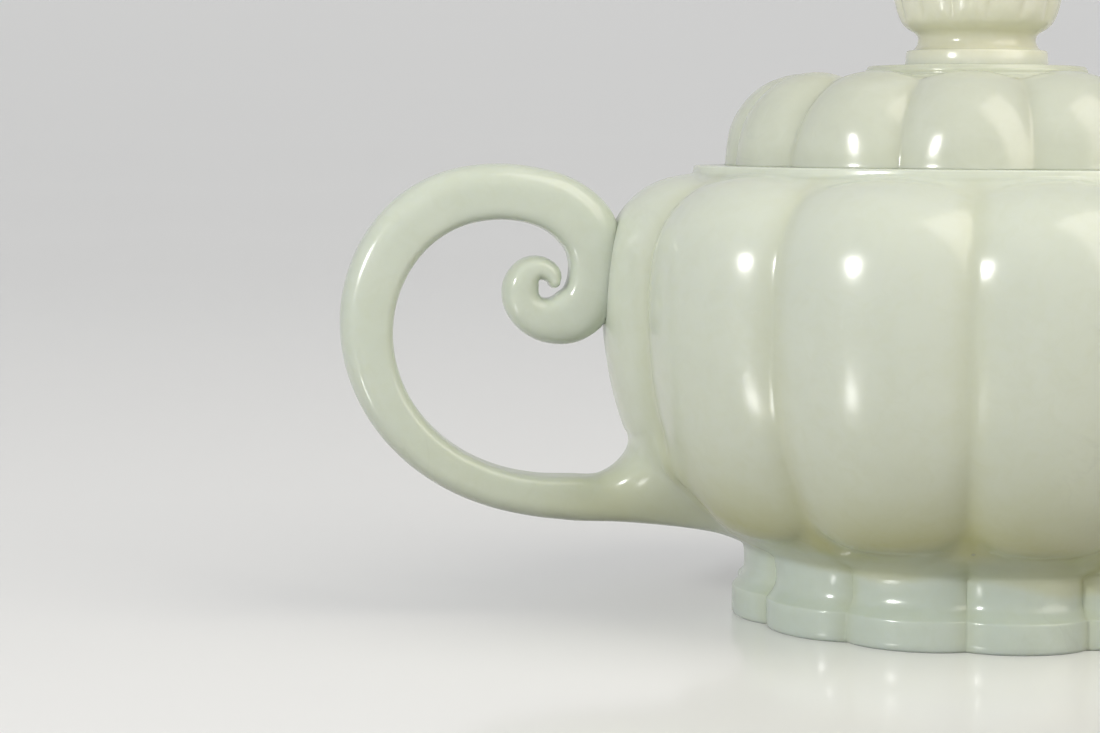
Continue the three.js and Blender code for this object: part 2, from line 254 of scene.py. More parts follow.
# Softens creases to a small round: each point moves half of the way to the middle of its four
# neighbours, a few times. strength, one for all rows or one for each, makes the way shorter.
def softenGrid(points, times, rows, strength=1.0):
    low, high = rows
    for _ in range(times):
        middle = (np.roll(points, 1, 1) + np.roll(points, -1, 1))[low:high] / 4
        middle += (points[low - 1:high - 1] + points[low + 1:high + 1]) / 4
        points[low:high] += (middle - points[low:high]) * 0.5 * strength


# An object of some data, in the scene
def addObject(name, data):
    thing = bpy.data.objects.new(name, data)
    bpy.context.scene.collection.objects.link(thing)
    return thing


# Puts a skin into a mesh object that rides on a body and takes the place of nodes
def makePiece(name, skin, material, body, nodes):
    points, faces = skin.allPoints(), skin.allFaces()
    mesh = bpy.data.meshes.new(name)
    lengths = np.concatenate([np.full(len(f), f.shape[1]) for f in faces])
    corners = np.concatenate([f.ravel() for f in faces]).astype(np.int32)
    mesh.vertices.add(len(points))
    mesh.vertices.foreach_set("co", (points * mm).astype(np.float32).ravel())
    mesh.loops.add(len(corners))
    mesh.loops.foreach_set("vertex_index", corners)
    mesh.polygons.add(len(lengths))
    starts = np.concatenate([[0], np.cumsum(lengths)[:-1]])
    mesh.polygons.foreach_set("loop_start", starts.astype(np.int32))
    mesh.update(calc_edges=True)
    # The groove attribute masks the painted shade in the grooves
    mesh.attributes.new("groove", "FLOAT", "POINT").data.foreach_set("value", skin.grooves())
    mesh.attributes.new("grip", "FLOAT", "POINT").data.foreach_set("value", skin.grips())
    mesh.validate()
    mesh.shade_smooth()
    mesh.set_sharp_from_angle(angle=math.radians(60))  # edges bent further stay crisp
    mesh.materials.append(material)
    piece = addObject(name, mesh)
    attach(piece, body)
    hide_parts(*nodes)
    print(name, "made:", len(points), "points,", int((lengths - 2).sum()), "triangles")
    return piece


# The pot's outer wall, millimetres: radius and height down the crest of a lobe, and down
# the ground between the lobes
body = {
    "crest": [(41.5, 65.62), (42.3, 65.58), (43.2, 65.32), (44.2, 65.06), (45.2, 64.8), (46.4, 64.43),
              (47.7, 63.9), (48.7, 63.42), (50.0, 62.45), (51.4, 61.2), (52.5, 59.9), (53.5, 58.3),
              (54.6, 54.8), (55.15, 50.8), (55.3, 46.0), (54.9, 41.0), (54.05, 35.5), (52.75, 30.4),
              (50.95, 25.5), (48.5, 20.8), (45.6, 17.0), (43.4, 15.05), (41.8, 14.3), (40.5, 13.95),
              (39.2, 13.7)],
    "core": [(41.55, 65.0), (41.9, 64.5), (42.7, 64.05), (44.0, 63.55), (46.0, 62.4), (48.0, 60.7),
             (49.6, 58.8), (50.9, 56.2), (51.7, 53.0), (52.1, 48.5), (52.1, 43.5), (51.7, 38.0),
             (50.9, 33.0), (49.6, 28.8), (47.6, 24.9), (45.1, 20.8), (42.6, 17.5), (40.6, 15.2),
             (39.2, 13.7)],
    # From the lobes' foot to the waist of the foot, and the share of the wall's rows it takes
    "neck": [(39.2, 13.7), (37.9, 13.05), (36.6, 12.38), (35.4, 11.68), (34.4, 11.0), (33.8, 10.5),
             (33.55, 10.05)],
    "neckShare": 0.1,
    "waistLobes": 0.05,  # the share over which the neck takes on the waist's lobes
    "topEnd": (0.007, 0.034, 0.3, 1.3, 0), "footEnd": (0.1, 0.075, 0.6, 1.5, 0.036),
    # Where the lobes' tops climb the collar: half width, its soft edge, share of the way down
    "collarLift": (0.72, 0.5, 0.03),
    "rows": (4, 60, 14),  # above the lobes, on them and below them
    "creaseSoftening": 6, "endSoftening": 26,
    "endRows": 4,  # rows to each side of a lobe's end that the end's softening reaches
    # Stone left in the grooves beside a root: direction, foot and top of the filling, amount
    "rootFillings": [(math.pi, 19.0, 28.5, 0.6), (0.0, 18.0, 36.0, 0.75)],
    "fillingEdge": (28.0, 8.0, 4.5),  # reach to each side and soft edge there, degrees; at its ends, mm
}

# The foot: radius on the crests, radius in the grooves, height, from the waist down
foot = {
    "waist": [(33.55, 32.0, 10.05), (33.45, 31.75, 9.4), (33.4, 31.62, 8.4), (33.4, 31.55, 7.5),
              (33.6, 31.6, 6.5), (34.0, 31.95, 5.6), (34.65, 32.5, 4.9), (35.05, 32.9, 4.5)],
    "band": [(35.22, 33.05, 4.38), (35.3, 33.12, 4.15), (35.3, 33.15, 3.2), (35.3, 33.15, 1.2),
             (35.27, 33.1, 0.45), (35.1, 32.95, 0.15), (34.8, 32.7, 0.0)],
    "waistRows": 12,
    "roundness": (3.6, 2.3),  # across the waist's lobes and the band's: more is flatter
    "recess": [(28.0, 0.0), (27.65, 0.12), (27.5, 0.45), (27.5, 2.5), (27.3, 2.88), (26.8, 3.0),
               (14.0, 3.0)],
    "recessDepth": 3.0,
}

# The collar and the hollow, radius and height, from the wall over the rim down to the floor
rim = {
    "outside": [(41.5, 65.66), (41.475, 65.8), (41.43, 66.08), (41.4, 66.24), (41.28, 66.36), (41.0, 66.4)],
    "inside": [(37.0, 66.4), (33.5, 66.4), (33.15, 66.3), (33.0, 66.0), (33.0, 64.0), (33.0, 61.6)],
    "cavity": [(33.2, 60.7), (36.5, 60.0), (41.5, 57.6), (45.3, 53.6), (47.2, 48.6), (47.5, 44.0),
               (46.6, 38.0), (44.6, 31.5), (41.0, 25.0), (36.4, 19.8), (31.5, 16.7), (27.4, 15.65),
               (18.0, 15.6)],
    "cavityRows": 30,
    "floor": 15.6,
}


# The pot's skin: its rings run up from the recess over foot, wall and rim, and down the hollow
def makePotSkin():
    angle, across = lobeColumns(lobes["count"], lobes["columns"], lobes["grooveCrowding"])
    waist = smoothCurve(foot["waist"], np.linspace(0, 1, foot["waistRows"]))
    waistCrest, waistGroove, _ = foot["waist"][0]

    def crest(share):
        return splitCurve(body["crest"], body["neck"], 1 - body["neckShare"], share)

    # The ground climbs the collar at the lobes' tops, and takes the waist's lobes at its foot
    def core(share):
        point = splitCurve(body["core"], body["neck"], 1 - body["neckShare"], share)
        full, fading, reach = body["collarLift"]
        lift = smoothStep((full - np.abs(across)) / fading) * (1 - smoothStep(share / reach))
        point[..., 1] += lift * (body["crest"][0][1] - body["core"][0][1])
        fade = ((share - 1 + body["waistLobes"]) / body["waistLobes"]).clip(0, 1) ** 2
        point[..., 0] -= fade * (waistCrest - waistGroove) * (1 - lobeRise(across, foot["roundness"][0]))
        return point

    # How far the grooves beside handle and spout are filled, at heights
    def filled(height):
        side, sideEdge, endEdge = body["fillingEdge"]
        total = 0
        for direction, low, high, amount in body["rootFillings"]:
            away = np.degrees(np.abs(np.angle(np.exp(1j * (angle - direction)))))
            total = total + (amount * smoothStep((side - away) / sideEdge)
                             * smoothStep((height - low) / endEdge) * smoothStep((high - height) / endEdge))
        return total

    wall = lobedWall(crest, core, across, body["topEnd"], body["footEnd"], body["rows"], filled)
    fullness = np.linspace(*foot["roundness"], len(waist) - 1)[:, None]
    footRows = np.concatenate([lobedRows(waist[1:], across, fullness),
                               lobedRows(foot["band"], across, foot["roundness"][1])])
    cavity = smoothCurve(rim["cavity"], np.linspace(0, 1, rim["cavityRows"]))
    up = np.concatenate([roundRows(foot["recess"], across)[::-1], footRows[::-1], wall[::-1],
                         roundRows([*rim["outside"], *rim["inside"], *cavity], across)])
    points = turnRows(up, angle)
    recessRows, wallRows = len(foot["recess"]), len(wall)
    wallStart = recessRows + len(footRows)
    softened = (wallStart + 2, wallStart + wallRows - 1)
    softenGrid(points, body["creaseSoftening"], softened)
    # The lobes' round ends are softer still
    before, _, after = body["rows"]
    row = np.arange(2, wallRows - 1)[:, None, None]
    nearEnd = sum(np.exp(-((row - end) / body["endRows"]) ** 2) for end in (after, wallRows - 1 - before))
    softenGrid(points, body["endSoftening"], softened, nearEnd)
    # The rows on which the grooves get painted shade
    grooveRows = np.zeros(len(points))
    grooveRows[recessRows:wallStart + wallRows] = 1
    skin = Skin(points, (0, 0, foot["recessDepth"]), (0, 0, rim["floor"]), across, grooveRows)
    skin.wallStart, skin.wallRows = wallStart, wallRows
    return skin


# The handle's loop and curl, millimetres: outward along -X, height, thickness
handle = {
    "line": [(-58.99, 17.74, 6.67), (-65.17, 18.22, 6.13), (-71.19, 19.55, 5.97), (-76.84, 21.99, 6.07),
             (-81.83, 25.6, 6.34), (-85.85, 30.31, 6.71), (-88.54, 35.87, 7.14), (-89.64, 41.93, 7.58),
             (-88.99, 48.05, 7.98), (-86.59, 53.73, 8.28), (-82.59, 58.38, 8.41), (-77.27, 61.4, 8.3),
             (-71.36, 62.48, 8.11), (-65.88, 62.03, 8.16), (-61.25, 60.42, 8.58), (-57.79, 57.42, 8.78),
             (-56.45, 53.5, 7.9), (-56.6, 49.5, 7.5), (-57.8, 46.15, 7.9), (-60.29, 44.3, 7.8),
             (-63.2, 43.86, 6.66), (-65.69, 44.81, 5.8), (-67.13, 46.77, 5.45), (-67.2, 48.94, 5.3),
             (-66.2, 50.75, 4.55), (-64.63, 51.4, 3.65), (-63.1, 50.85, 3.1), (-62.5, 49.95, 2.55),
             (-62.4, 49.4, 1.8)],
    "depth": 8.7, "tipDepthShare": 0.72, "curlStartShare": 0.62,
    "outerPower": 2.6, "innerPower": 4.6, "tipPower": 2.3,
    "rings": 210, "tipRings": 6,
    "rootRows": (27.4, 34.2),  # the root's top by height, its foot by radius on the underside
    "rootColumns": 9, "rootRings": 22,
    "rootPull": (0.42, 0.17, 0.36),  # at the loop, on the wall below it and above it
    "evenFrom": 0.15,  # share of the loop after which its columns are evenly spaced
    "rootTone": (9.0, 0.7),  # how far the loop's tone reaches over the wall, and how strongly
    "toneRise": (0.7, 12),  # its strength where the loop starts, and rings until it is full
}

# The spout's line, millimetres: outward along +X and height, and its taper
spout = {
    "line": [(65.0, 34.0), (68.1, 37.3), (71.0, 40.8), (73.8, 44.6), (76.3, 49.2), (78.6, 54.2),
             (80.9, 59.2), (83.6, 64.2), (87.2, 69.3)],
    "rootRadius": 9.3, "lipRadius": 5.6,
    "taper": 1.5,  # more narrows it sooner
    "lipFlare": 0.35, "flareLength": 0.1, "lipRings": 7,
    "lipRise": 0.8,  # the rolled lip's height against its half width
    "rings": 64, "levelFrom": 0.55,  # share of the way from which the rings turn level
    "rootTurn": (0.25, 0.4),  # how far the first rings face the wall, and over which share
    "rootRows": (44.0, 41.5), "rootColumns": 11, "rootRings": 26, "rootPull": (0.45, 0.4, 0.4),
    "evenFrom": 0.3, "rootTone": (11.0, 0.5),
    "easing": 260, "easedRings": 11,  # how often and how far round their seam root and tube are eased
    "boreRoot": 5.2, "boreLip": 3.75, "boreRings": 60,
    "holeHeight": 26.0, "holeColumns": 4, "holeRings": 10,  # the pour hole through the wall
}

# The trumpets that join handle and spout to the wall
trumpet = {
    "roundings": 70,  # how often the rings between tube and wall are evened out
    "tubeShare": 0.25, "wallShare": 0.3,  # the shares beside tube and wall that keep their form
}


# Rows of the pot's wall from where its crest reaches a radius on the underside up to where it
# reaches a height
def wallWindow(skin, upperHeight, lowerRadius):
    rows = np.arange(skin.wallStart, skin.wallStart + skin.wallRows)
    column = int(np.argmin(np.abs(skin.across[:lobes["columns"]])))
    points = skin.grid[rows, column]
    low = np.argmax(np.hypot(points[:, 0], points[:, 1]) >= lowerRadius)
    high = np.argmax(points[:, 2] >= upperHeight)
    return int(rows[low]), int(rows[high])


# Angles round a tube by ring: at its root those of the window's edge as seen from the centre,
# a quarter turn being along quarterAxis, and evenly spaced ones after a share of its length
def tubeAngles(edge, centre, quarterAxis, shares, evenFrom):
    spread = edge - centre
    edgeAngle = np.unwrap(np.arctan2(spread @ quarterAxis, spread[:, 1]))
    way = np.sign(edgeAngle[-1] - edgeAngle[0])
    even = edgeAngle[0] + way * np.arange(len(edge)) * 2 * math.pi / len(edge)
    blend = smoothStep(shares / evenFrom)[:, None]
    return edgeAngle * (1 - blend) + even * blend


# A trumpet from a tube's first ring to the edge of a window in the wall: a cubic between
# them that leaves the tube against its run and meets the wall flat. pull is the length of the
# cubic's handles against the way: at the tube, on the wall below the root and above it.
def trumpetRings(tubeRing, back, edge, normal, rings, pull, centre):
    atTube, below, above = pull
    outward = edge - centre
    outward -= (outward * normal).sum(-1, keepdims=True) * normal
    outward /= np.linalg.norm(outward, axis=-1, keepdims=True)
    way = np.linalg.norm(edge - tubeRing, axis=-1, keepdims=True)
    upper = smoothStep((edge[:, 2:] - centre[2]) / (edge[:, 2].max() - centre[2]))
    first = tubeRing + back * way * atTube
    second = edge - outward * way * (below + (above - below) * upper)
    t = np.linspace(0, 1, rings + 2)[1:-1, None, None]
    points = ((1 - t) ** 3 * tubeRing + 3 * (1 - t) ** 2 * t * first
              + 3 * (1 - t) * t ** 2 * second + t ** 3 * edge)
    # The window's corners are rounded out of the rings between wall and tube
    share = 0.5 * smoothStep(t / trumpet["tubeShare"]) * smoothStep((1 - t) / trumpet["wallShare"])
    for _ in range(trumpet["roundings"]):
        points += ((np.roll(points, 1, 1) + np.roll(points, -1, 1)) / 2 - points) * share
    return points


# Section of the handle: half sizes across and along the pot's side, corners by a
# superellipse whose power differs inside and outside the loop; polar angle 0 is +Y and a
# quarter turn faces into the loop
def handleSection(angle, halfThickness, halfDepth, outerPower, innerPower):
    power = np.where(np.sin(angle) >= 0, innerPower, outerPower)
    side, inward = np.cos(angle), np.sin(angle)
    radius = ((np.abs(side) / halfDepth) ** power
              + (np.abs(inward) / halfThickness) ** power) ** (-1 / power)
    return radius * side, radius * inward


# The handle: sections square to its line, joined to a window in the pot's wall, its tip closed
# in a half round
def addHandle(skin):
    middle = lobes["count"] // 2 * lobes["columns"] + lobes["columns"] // 2
    window = middle - handle["rootColumns"], middle + handle["rootColumns"]
    edgeIndex, edge, normal = skin.cutWindow(wallWindow(skin, *handle["rootRows"]), window)
    shares = np.linspace(0, 1, handle["rings"])
    line = smoothCurve(handle["line"], shares)
    along = np.gradient(line[:, [0, 1]], axis=0)
    along /= np.linalg.norm(along, axis=1, keepdims=True)
    # The loop's inside lies to the right of its run
    inside = np.stack([along[:, 1], -along[:, 0]], -1)
    centre = edge.mean(0)
    skin.roots.append((centre, *handle["rootTone"]))
    angle = tubeAngles(edge, centre, np.array([inside[0, 0], 0, inside[0, 1]]), shares, handle["evenFrom"])
    curl = smoothStep((shares - handle["curlStartShare"]) / (1 - handle["curlStartShare"]))[:, None]
    outerPower, innerPower = (handle[k] + (handle["tipPower"] - handle[k]) * curl
                              for k in ("outerPower", "innerPower"))
    halfDepth = handle["depth"] / 2 * (1 - (1 - handle["tipDepthShare"]) * curl)
    across, inwards = handleSection(angle, line[:, 2:3] / 2, halfDepth, outerPower, innerPower)
    rings = np.stack([line[:, 0:1] + inside[:, 0:1] * inwards, across,
                      line[:, 1:2] + inside[:, 1:2] * inwards], -1)
    back = -np.array([along[0, 0], 0, along[0, 1]])
    root = trumpetRings(rings[0], back, edge, normal, handle["rootRings"], handle["rootPull"], centre)
    closing = np.linspace(0, math.pi / 2, handle["tipRings"] + 2)[1:-1, None, None]
    tipCentre = np.array([line[-1, 0], 0, line[-1, 1]])
    tipAlong = np.array([along[-1, 0], 0, along[-1, 1]]) * line[-1, 2] / 2
    tip = tipCentre + (rings[-1] - tipCentre) * np.cos(closing) + tipAlong * np.sin(closing)
    atLoop, rising = handle["toneRise"]
    grips = np.concatenate([np.linspace(0, atLoop, len(root)), np.linspace(atLoop, 1, rising),
                            np.ones(len(rings) + len(tip) - rising)])
    last = skin.carryOn(edgeIndex, [*root[::-1], *rings, *tip], grips)
    pole = skin.addPoints((tipCentre + tipAlong)[None, :], 1.0)[0]
    skin.faces.append(np.stack([last, np.roll(last, -1), np.full_like(last, pole)], -1))


# The spout: round sections along its line that turn level at the lip, joined to a window in
# the pot's wall; the lip rolls inwards, and the bore runs back down to the pot's hollow
def addSpout(skin):
    middle = lobes["columns"] // 2
    window = middle - spout["rootColumns"], middle + spout["rootColumns"]
    edgeIndex, edge, normal = skin.cutWindow(wallWindow(skin, *spout["rootRows"]), window)
    shares = np.linspace(0, 1, spout["rings"])
    line = smoothCurve(spout["line"], shares)
    along = np.gradient(line, axis=0)
    along /= np.linalg.norm(along, axis=1, keepdims=True)
    level = smoothStep((shares - spout["levelFrom"]) / (1 - spout["levelFrom"]))[:, None]
    facing = along * (1 - level) + np.array([0.0, 1.0]) * level
    rootTurn, turnedShare = spout["rootTurn"]
    facing += np.array([1.0, 0.0]) * rootTurn * smoothStep(1 - shares / turnedShare)[:, None]
    facing /= np.linalg.norm(facing, axis=1, keepdims=True)
    up = np.stack([-facing[:, 1], facing[:, 0]], -1)
    centre = edge.mean(0)
    skin.roots.append((centre, *spout["rootTone"]))
    upAxis = np.array([up[0, 0], 0, up[0, 1]])
    angle = tubeAngles(edge, centre, upAxis, shares, spout["evenFrom"])

    # Round rings of a radius about places on the line, each in the plane of its up direction
    def ringsOf(radius, angle, place, up):
        out, side = radius * np.sin(angle), radius * np.cos(angle)
        return np.stack([place[:, 0:1] + up[:, 0:1] * out, np.broadcast_to(side, out.shape),
                         place[:, 1:2] + up[:, 1:2] * out], -1)

    taper = (1 - shares[:, None]) ** spout["taper"]
    flare = ((shares[:, None] - 1 + spout["flareLength"]) / spout["flareLength"]).clip(0, 1) ** 2
    radius = (spout["lipRadius"] + (spout["rootRadius"] - spout["lipRadius"]) * taper
              + spout["lipFlare"] * flare)
    rings = ringsOf(radius, angle, line, up)
    back = rings[0] - rings[1]
    back /= np.linalg.norm(back, axis=1, keepdims=True)
    root = trumpetRings(rings[0], back, edge, normal, spout["rootRings"], spout["rootPull"], centre)
    # Root and tube are eased into each other along their length
    tube = np.concatenate([root[::-1], rings])
    near = 0.5 * np.exp(-((np.arange(len(tube)) - len(root)) / spout["easedRings"]) ** 2)[1:-1, None, None]
    for _ in range(spout["easing"]):
        tube[1:-1] += ((tube[:-2] + tube[2:]) / 2 - tube[1:-1]) * near
    # The lip rolls over in a half round to the bore's edge
    outer, inner = radius[-1, 0], spout["boreLip"]
    half = (outer - inner) / 2
    roll = np.linspace(0, math.pi, spout["lipRings"] + 2)[1:-1, None]
    lip = ringsOf((outer + inner) / 2 + half * np.cos(roll), angle[-1:], line[-1:], up[-1:])
    lip[..., 2] += half * np.sin(roll) * spout["lipRise"]
    grips = np.linspace(0, 2, len(tube) + len(lip)).clip(0, 1)
    ring = skin.carryOn(edgeIndex, [*tube, *lip], grips)
    # The bore runs back down the same line, from every second point of the lip
    boreAngle = angle[-1, ::2]
    backwards = np.linspace(1, 0, spout["boreRings"])
    boreLine, boreUp = (np.stack([np.interp(backwards, shares, table[:, k]) for k in range(2)], -1)
                        for table in (line, up))
    boreRadius = spout["boreLip"] + (spout["boreRoot"] - spout["boreLip"]) * (1 - backwards[:, None])
    bore = ringsOf(boreRadius, boreAngle, boreLine, boreUp)
    first = skin.addPoints(bore[0])
    a, b, c, after = ring[::2], ring[1::2], np.roll(ring, -2)[::2], np.roll(first, -1)
    skin.faces += [np.stack(corners, -1) for corners in ((a, b, first), (b, after, first), (b, c, after))]
    ring = skin.carryOn(first, bore[1:], np.zeros(len(bore)))
    # Through the wall to a window in the hollow
    holeColumns = spout["holeColumns"]
    holeRows = len(boreAngle) // 2 - 2 * holeColumns
    hollowStart = skin.rowCount - rim["cavityRows"]
    heights = skin.grid[hollowStart:, middle, 2]
    lowRow = hollowStart + int(np.argmin(np.abs(heights - spout["holeHeight"]))) - holeRows // 2
    holeIndex, hole, _ = skin.cutWindow((lowRow, lowRow + holeRows),
                                        (middle - holeColumns, middle + holeColumns))
    # The window's edge is taken in the bore's direction, from beside the bore's first point
    holeIndex, hole = holeIndex[::-1], hole[::-1]
    boreTurn, holeTurn = (np.arctan2((points - points.mean(0)) @ upAxis, (points - points.mean(0))[:, 1])
                          for points in (bore[-1], hole))
    shift = int(np.argmin(np.abs(np.angle(np.exp(1j * (holeTurn - boreTurn[0]))))))
    holeIndex, hole = np.roll(holeIndex, -shift), np.roll(hole, -shift, 0)
    step = np.linspace(0, 1, spout["holeRings"] + 2)[1:-1, None, None]
    ring = skin.carryOn(ring, bore[-1] * (1 - step) + hole * step, np.zeros(spout["holeRings"]))
    skin.joinRings(ring, holeIndex)


# The lid's dome: crest and ground as for the pot, and the plain rows above and below it
lid = {
    "turn": math.radians(13),
    "crest": [(16.9, 79.6), (18.6, 79.3), (20.6, 79.12), (22.0, 79.25), (23.3, 79.6), (24.6, 79.92),
              (26.0, 80.0), (27.5, 79.82), (29.2, 79.3), (31.15, 78.45), (32.9, 77.15), (34.45, 75.45),
              (35.6, 73.65), (36.3, 71.9), (36.6, 70.3), (36.8, 68.6), (36.89, 67.5), (36.93, 66.9),
              (37.0, 66.5)],
    "core": [(16.9, 79.6), (18.6, 79.3), (20.6, 79.12), (22.5, 79.08), (24.4, 79.08), (26.0, 79.02),
             (27.1, 78.65), (28.5, 77.6), (30.3, 76.15), (31.7, 74.7), (33.0, 72.8), (34.0, 70.6),
             (34.7, 68.4), (35.0, 66.5)],
    "topEnd": (0.17, 0.26, 0.08, 2.0, 0.07), "footEnd": (0, 0, 0, 1, 0), "rows": (9, 48, 0),
    "base": [(36.98, 34.97, 66.46), (36.9, 34.85, 66.38)],  # on the crests, in the grooves, height
    "disc": [(8.0, 81.1), (15.4, 81.1), (15.75, 81.06), (15.95, 80.9), (15.98, 80.66), (16.1, 80.6),
             (16.2, 80.5), (16.2, 80.18), (16.12, 79.98), (16.2, 79.75), (16.45, 79.6)],
    "under": [(32.9, 66.38), (32.55, 66.3), (32.5, 66.1), (32.5, 63.0), (32.5, 60.1), (32.3, 59.8),
              (32.0, 59.7), (30.0, 59.7), (29.65, 59.82), (29.5, 60.2), (29.5, 63.5), (29.5, 66.2)],
    "hollow": [(29.3, 67.6), (28.2, 70.4), (25.6, 73.2), (21.8, 75.2), (17.0, 76.0), (9.0, 76.0)],
    "hollowRows": 14, "discTop": 81.1, "hollowTop": 76.0,
    "creaseSoftening": 3,
}


# The lid's skin: its rings run up from the hollow over ring, base and dome to the disc
def makeLidSkin():
    angle, across = lobeColumns(lobes["count"], lobes["columns"], lobes["grooveCrowding"], lid["turn"])
    wall = lobedWall(lambda share: curveAt(lid["crest"], share), lambda share: curveAt(lid["core"], share),
                     across, lid["topEnd"], lid["footEnd"], lid["rows"])
    hollow = smoothCurve(lid["hollow"], np.linspace(0, 1, lid["hollowRows"]))
    down = np.concatenate([roundRows(lid["disc"], across), wall,
                           lobedRows(lid["base"], across, lobes["roundness"]),
                           roundRows([*lid["under"], *hollow], across)])
    points = turnRows(down[::-1], angle)
    wallEnd = len(down) - len(lid["disc"])
    wallStart = wallEnd - len(wall)
    softenGrid(points, lid["creaseSoftening"], (wallStart + 1, wallEnd + 1))
    grooveRows = np.zeros(len(down))
    grooveRows[wallStart:wallEnd] = 1
    return Skin(points, (0, 0, lid["hollowTop"]), (0, 0, lid["discTop"]), across, grooveRows)


# The finial: a plain plinth, a waisted neck and a closed bud of shallow petals
finial = {
    "turn": math.radians(18), "petals": 14, "columns": 12, "grooveCrowding": 0.5,
    "plinth": [(5.0, 81.1), (10.15, 81.1), (10.37, 81.16), (10.44, 81.34), (10.36, 82.2),
               (10.29, 83.05), (10.2, 83.3), (9.98, 83.4)],
    "bud": [(9.5, 83.4), (9.0, 83.75), (8.68, 84.3), (8.55, 84.95), (8.7, 85.6), (9.2, 86.05),
            (10.0, 86.5), (10.9, 87.3), (11.4, 88.2), (11.75, 89.1), (12.1, 90.4), (12.4, 92.2), (12.6, 94.2),
            (12.55, 96.2), (12.2, 98.2), (11.45, 100.2), (10.2, 102.0), (8.5, 103.4), (6.4, 104.45),
            (4.4, 105.1), (2.9, 105.45), (1.9, 105.75), (1.0, 105.95), (0.3, 106.0)],
    "rows": 76, "floor": 81.1, "top": 106.0,
    "grooveDepth": 0.42, "grooveShare": 0.05,  # at most, in millimetres and against the radius
    "grooveFrom": 86.8, "grooveFull": 89.5,  # heights between which the grooves deepen
}


# The finial's skin: rings turned from its outline, drawn in at the grooves between the petals
def makeFinialSkin():
    angle, across = lobeColumns(finial["petals"], finial["columns"], finial["grooveCrowding"],
                                finial["turn"])
    bud = smoothCurve(finial["bud"], np.linspace(0, 1, finial["rows"]))
    rows = np.vstack([finial["plinth"], bud])
    radius, height = rows[:, 0:1], rows[:, 1:2]
    deepening = (height - finial["grooveFrom"]) / (finial["grooveFull"] - finial["grooveFrom"])
    depth = np.minimum(finial["grooveDepth"] * smoothStep(deepening), radius * finial["grooveShare"])
    radius = radius - depth * (1 - lobeRise(across))
    points = turnRows(np.stack([radius, np.broadcast_to(height, radius.shape)], -1), angle)
    grooveRows = depth[:, 0] / finial["grooveDepth"]
    return Skin(points, (0, 0, finial["floor"]), (0, 0, finial["top"]), across, grooveRows)


# Polished jade, by name. Colours are linear. The zones give how far the colour has gone from light
# to deep at heights in millimetres: painted shade on the undersides, under the lobes and on the neck above
# the foot, low on the lid and under its disc, and on the finial's neck under its bud, together with an olive
# tone of the stone, so the deep colour stands for both. Below coolBelow the ground is the cool colour,
# gripCool is how cool handle and spout are, and the grip's shade how much painted shade they take on.
jade = {
    "potJade": {
        # The deep colour and the zones: painted shade under the lobes and on the neck above the foot, with
        # the stone's olive tone
        "light": (0.70, 0.745, 0.635), "deepAndShade": (0.48, 0.475, 0.165), "cloud": (0.77, 0.81, 0.72),
        "cool": (0.59, 0.67, 0.605), "coolBelow": 9.5,
        "toneAndShadeZones": [(0, 0.05), (8.8, 0.06), (9.8, 0.3), (12.4, 0.46), (14.0, 0.66), (16.0, 0.72),
                  (19.5, 0.46), (24.0, 0.24), (30.0, 0.11), (42.0, 0.035), (52.0, 0.0)],
        # A little painted shade on handle and spout, and how cool their ground is
        "gripShade": 0.05, "gripCool": 0.4,
        "cloudSize": 13.0, "cloudAmount": 0.18, "veinAmount": 0.1, "speckAmount": 0.5,
    },
    "lidJade": {
        # The deep colour and the zones: painted shade low on the lid and under its disc, with the stone's
        # olive tone
        "light": (0.655, 0.69, 0.575), "deepAndShade": (0.46, 0.46, 0.29), "cloud": (0.76, 0.785, 0.69),
        "cool": (0.66, 0.715, 0.62), "coolBelow": 60.0,
        "toneAndShadeZones": [(60, 0.5), (66, 0.1), (72, 0.0), (79, 0.05), (81, 0.2)],
        "gripShade": 0.0, "gripCool": 0.0,
        "cloudSize": 11.0, "cloudAmount": 0.18, "veinAmount": 0.08, "speckAmount": 0.5,
    },
    "finialJade": {
        # The deep colour and the zones: painted shade on the neck under the bud, with the stone's olive tone
        "light": (0.81, 0.815, 0.68), "deepAndShade": (0.56, 0.545, 0.31), "cloud": (0.87, 0.87, 0.79),
        "cool": (0.76, 0.79, 0.69), "coolBelow": 83.0,
        "toneAndShadeZones": [(80, 0.06), (83, 0.14), (85, 0.36), (87.5, 0.24), (92, 0.04), (106, 0.0)],
        "gripShade": 0.0, "gripCool": 0.0,
        "cloudSize": 8.0, "cloudAmount": 0.4, "veinAmount": 0.2, "speckAmount": 0.15,
    },
}

# What the three stones share. A scale is a noise's, in features per metre, and a range is the
# part of a noise's values over which its effect comes in.
grain = {
    "driftScale": 22.0, "driftAmount": 0.35, "driftLeast": 0.3,  # slow changes of depth
    "cloudRange": (0.42, 0.68), "fineness": 4.5,  # of the pattern in the clouds against the clouds
    "fineRange": (0.25, 0.72, 0.35, 1.0), "thinRange": (0.62, 0.3), "thinDepth": 0.05,
    "veinScale": 38.0, "veinWidth": 0.03, "veinRange": (0.52, 0.66), "veinColour": (0.36, 0.38, 0.31, 1.0),
    "speckScale": 210.0, "speckSize": (0.085, 0.03), "speckFrom": 0.93,
    "speckColour": (0.16, 0.16, 0.12, 1.0), "speckRoughness": 0.3,
    "polishScale": 85.0, "polishRange": (0.3, 0.75), "roughness": (0.16, 0.23),
    "handScale": 140.0, "pitScale": 900.0, "pitShare": 0.05, "bumpStrength": 0.6, "bumpDepth": 0.00012,
    "swayScale": 26.0, "sway": 0.012,  # how the zones' heights wander, metres
    "coolEdge": 2.0,  # millimetres to each side of coolBelow over which the cool ground starts
    "grooveDepth": 0.16, "gripFade": 0.75,  # painted shade in the grooves, and the share of the zones' painted shade lost on handle and spout
    "refractiveIndex": 1.61, "scatter": 0.35, "scatterRadius": (1.0, 0.95, 0.7), "scatterDepth": 0.0028,
}


